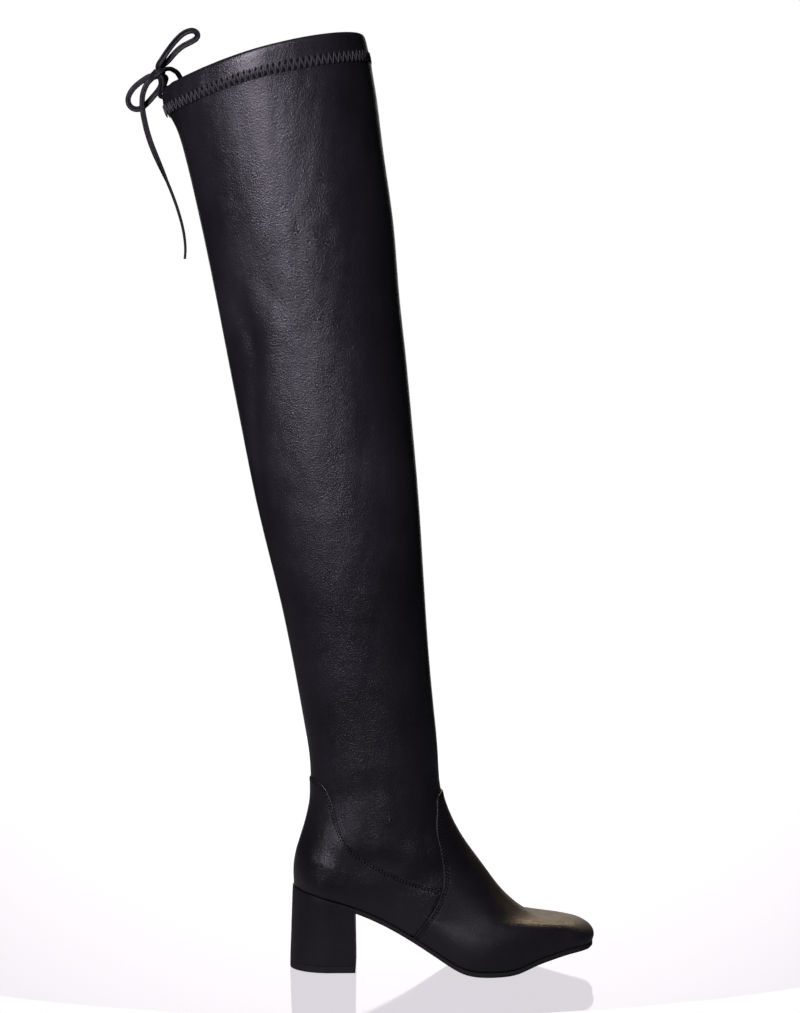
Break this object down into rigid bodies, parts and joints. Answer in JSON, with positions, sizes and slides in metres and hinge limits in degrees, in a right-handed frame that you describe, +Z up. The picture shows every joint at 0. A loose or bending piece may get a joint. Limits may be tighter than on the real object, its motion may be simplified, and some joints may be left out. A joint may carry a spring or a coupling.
{
  "type": "thigh high boot",
  "caption": "Right pull-on thigh high boot with a leaning stretch shaft, a tied bow at the back of the collar, a soft square toe and a covered block heel.",
  "frame": {"origin": "on the floor, under the middle of the heel", "axes": "+X from the heel to the toe, +Y to the inner side of the right foot, +Z up"},
  "size_m": [0.381, 0.1284, 0.7642],
  "materials": {
    "leather": "smooth black leather with a fine grain and a satin sheen",
    "heel_cover": "smooth black cover, satin",
    "sole_rubber": "matt black rubber",
    "lace": "folded black leather strip",
    "sock": "black textile sock"
  },
  "bodies": {
    "root": {"upper": "leather", "vamp": "leather", "counter": "leather", "insole": "sock", "outsole": "sole_rubber", "heel": "heel_cover", "heel_top_piece": "sole_rubber", "bow_knot": "lace", "lace_strand_near": "lace", "lace_strand_far": "lace", "bow_loop_upper": "lace", "bow_loop_lower": "lace", "lace_end_near": "lace", "lace_end_far": "lace"}
  },
  "joints": []
}
